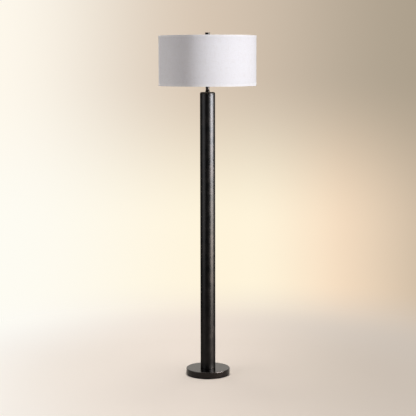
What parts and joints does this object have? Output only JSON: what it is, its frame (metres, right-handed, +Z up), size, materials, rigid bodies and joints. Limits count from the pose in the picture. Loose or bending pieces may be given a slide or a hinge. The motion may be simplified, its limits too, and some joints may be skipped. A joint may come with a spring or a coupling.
{
  "type": "column floor lamp",
  "caption": "Floor lamp with a drum shade on a harp, a plain round column and a round weighted base.",
  "frame": {"origin": "on the floor under the middle of the base", "axes": "+Z up along the column, front toward -Y, switch knob toward -Y, cord bushing toward +Y"},
  "size_m": [0.4499, 0.45, 1.5998],
  "materials": {
    "foam_rubber": "matt black foam rubber",
    "blackened_bronze": "satin blackened bronze",
    "polished_bronze": "polished blackened bronze",
    "cast_weight": "raw casting",
    "black_plastic": "moulded",
    "zinc_steel": "zinc plated",
    "nickel_wire": "nickel plated",
    "white_linen": "plain linen weave",
    "styrene_liner": "matt white sheet",
    "white_wire": "white powder coat",
    "brass": "satin brass",
    "insulating_paper": "pressed paper",
    "phenolic": "moulded phenolic",
    "aluminium": "bright rolled",
    "black_glass": "black vitrite",
    "white_plastic": "moulded",
    "frosted_glass": "frosted white"
  },
  "bodies": {
    "stand": {"floor_pad": "foam_rubber", "base_shell": "blackened_bronze", "base_weight": "cast_weight", "cord_bushing": "black_plastic", "lower_nut": "zinc_steel", "lower_lock_washer": "zinc_steel", "lower_washer": "zinc_steel", "threaded_pipe": "zinc_steel", "column_foot": "blackened_bronze", "column_tube": "blackened_bronze", "column_cap": "blackened_bronze", "neck": "polished_bronze", "harp_saddle": "nickel_wire", "socket_cap": "brass", "socket_set_screw": "zinc_steel", "socket_shell": "brass", "socket_liner": "insulating_paper", "socket_body": "phenolic", "terminal_screws": "brass", "socket_screw_shell": "aluminium", "socket_centre_contact": "brass"},
    "switch": {"switch_spindle": "zinc_steel", "switch_rotor": "phenolic", "switch_knob": "phenolic"},
    "bulb_carriage": {"bulb_contact": "zinc_steel"},
    "bulb": {"bulb_insulator": "black_glass", "bulb_cap": "aluminium", "bulb_collar": "white_plastic", "bulb_globe": "frosted_glass"},
    "harp": {"harp_right_wire": "nickel_wire", "harp_left_wire": "nickel_wire", "harp_boss": "nickel_wire"},
    "right_sleeve": {"right_sleeve": "nickel_wire"},
    "left_sleeve": {"left_sleeve": "nickel_wire"},
    "swivel_post": {"harp_post": "nickel_wire"},
    "shade": {"shade_cover": "white_linen", "shade_liner": "styrene_liner", "shade_top_hem": "white_linen", "shade_bottom_hem": "white_linen", "shade_top_ring": "white_wire", "shade_bottom_ring": "white_wire", "spider_arms": "white_wire", "spider_hub": "white_wire"},
    "finial_carriage": {"finial_insert": "brass"},
    "finial": {"finial": "polished_bronze"}
  },
  "joints": [
    {"name": "switch_turn", "type": "hinge", "parent": "stand", "child": "switch", "pos_m": [0, -0.02, 1.3866], "axis": [0, -1, 0], "continuous": true},
    {"name": "bulb_rise", "type": "slide", "parent": "stand", "child": "bulb_carriage", "axis": [0, 0, 1], "range_m": [0, 0.01452]},
    {"name": "bulb_turn", "type": "hinge", "parent": "bulb_carriage", "child": "bulb", "pos_m": [0, 0, 1.42], "axis": [0, 0, 1], "range_deg": [0, 1440]},
    {"name": "harp_lift", "type": "slide", "parent": "stand", "child": "harp", "axis": [0, 0, 1], "range_m": [0, 0.025]},
    {"name": "right_sleeve_lift", "type": "slide", "parent": "harp", "child": "right_sleeve", "axis": [0, 0, 1], "range_m": [0, 0.012]},
    {"name": "left_sleeve_lift", "type": "slide", "parent": "harp", "child": "left_sleeve", "axis": [0, 0, 1], "range_m": [0, 0.012]},
    {"name": "shade_swivel", "type": "hinge", "parent": "harp", "child": "swivel_post", "pos_m": [0, 0, 1.5673], "axis": [0, 0, 1], "continuous": true},
    {"name": "shade_lift", "type": "slide", "parent": "swivel_post", "child": "shade", "axis": [0, 0, 1], "range_m": [0, 0.24]},
    {"name": "finial_rise", "type": "slide", "parent": "shade", "child": "finial_carriage", "axis": [0, 0, 1], "range_m": [0, 0.01178]},
    {"name": "finial_turn", "type": "hinge", "parent": "finial_carriage", "child": "finial", "pos_m": [0, 0, 1.58], "axis": [0, 0, 1], "range_deg": [0, 4500]}
  ],
  "couplings": [
    {"joint": "bulb_rise", "follows": "bulb_turn", "m_per_rad": 0.00057751},
    {"joint": "finial_rise", "follows": "finial_turn", "m_per_rad": 0.00014972}
  ]
}
